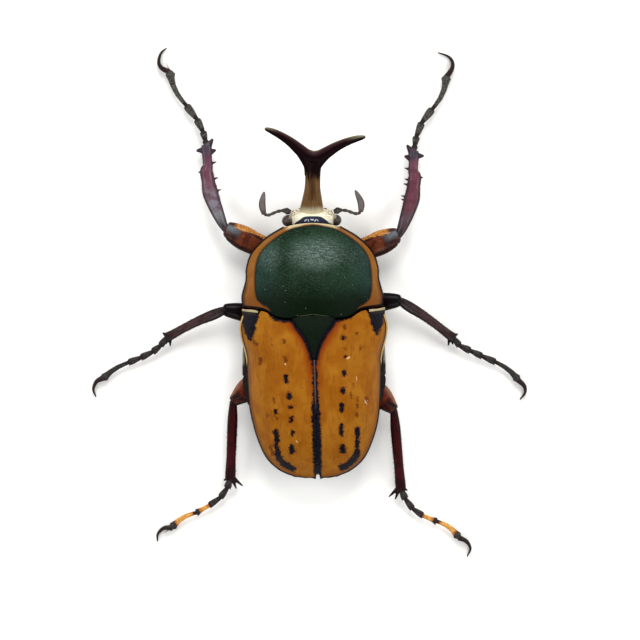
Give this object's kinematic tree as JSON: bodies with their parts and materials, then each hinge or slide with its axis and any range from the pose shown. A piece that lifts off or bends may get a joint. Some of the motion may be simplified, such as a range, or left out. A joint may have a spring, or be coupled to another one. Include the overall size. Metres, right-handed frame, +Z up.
{
  "type": "horned flower beetle specimen",
  "caption": "Still, life-size male horned flower beetle with a forked head horn, spread legs and closed wing cases, resting flat on its breastplate and claws.",
  "frame": {"origin": "on the flat under the breastplate of the hind thorax, on the body's middle line, at floor level", "axes": "+Y along the body towards the head and horn, +Z up out of the back, +X to the beetle's right"},
  "size_m": [0.0624, 0.0734, 0.0136],
  "materials": {
    "wing_case": "satin ochre shell with black marks",
    "green_shell": "silky dark green",
    "black_shell": "glossy black",
    "cream_shell": "matte cream",
    "horn": "satin, cream at its root and plum black at the fork",
    "eye": "glossy dark grey brown",
    "feeler": "matte dark grey brown",
    "thigh": "glossy red brown, black at the knee",
    "shin": "glossy plum brown",
    "foot": "satin grey black"
  },
  "bodies": {
    "root": {"head": "cream_shell", "horn": "horn", "eye_left": "eye", "eye_right": "eye", "antenna_left": "feeler", "antenna_right": "feeler", "mouthparts": "black_shell", "pronotum": "green_shell", "prosternum": "black_shell", "scutellum": "green_shell", "mesepimeron_left": "cream_shell", "mesepimeron_right": "cream_shell", "elytron_left": "wing_case", "elytron_right": "wing_case", "metathorax": "black_shell", "abdomen": "black_shell", "pygidium": "black_shell", "coxa_front_left": "black_shell", "coxa_front_right": "black_shell", "coxa_middle_left": "black_shell", "coxa_middle_right": "black_shell", "coxa_hind_left": "black_shell", "coxa_hind_right": "black_shell", "femur_front_left": "thigh", "femur_front_right": "thigh", "femur_middle_left": "thigh", "femur_middle_right": "thigh", "femur_hind_left": "thigh", "femur_hind_right": "thigh", "tibia_front_left": "shin", "tibia_front_right": "shin", "tibia_middle_left": "shin", "tibia_middle_right": "shin", "tibia_hind_left": "shin", "tibia_hind_right": "shin", "tarsus_front_left": "foot", "tarsus_front_right": "foot", "tarsus_middle_left": "foot", "tarsus_middle_right": "foot", "tarsus_hind_left": "foot", "tarsus_hind_right": "foot"}
  },
  "joints": []
}
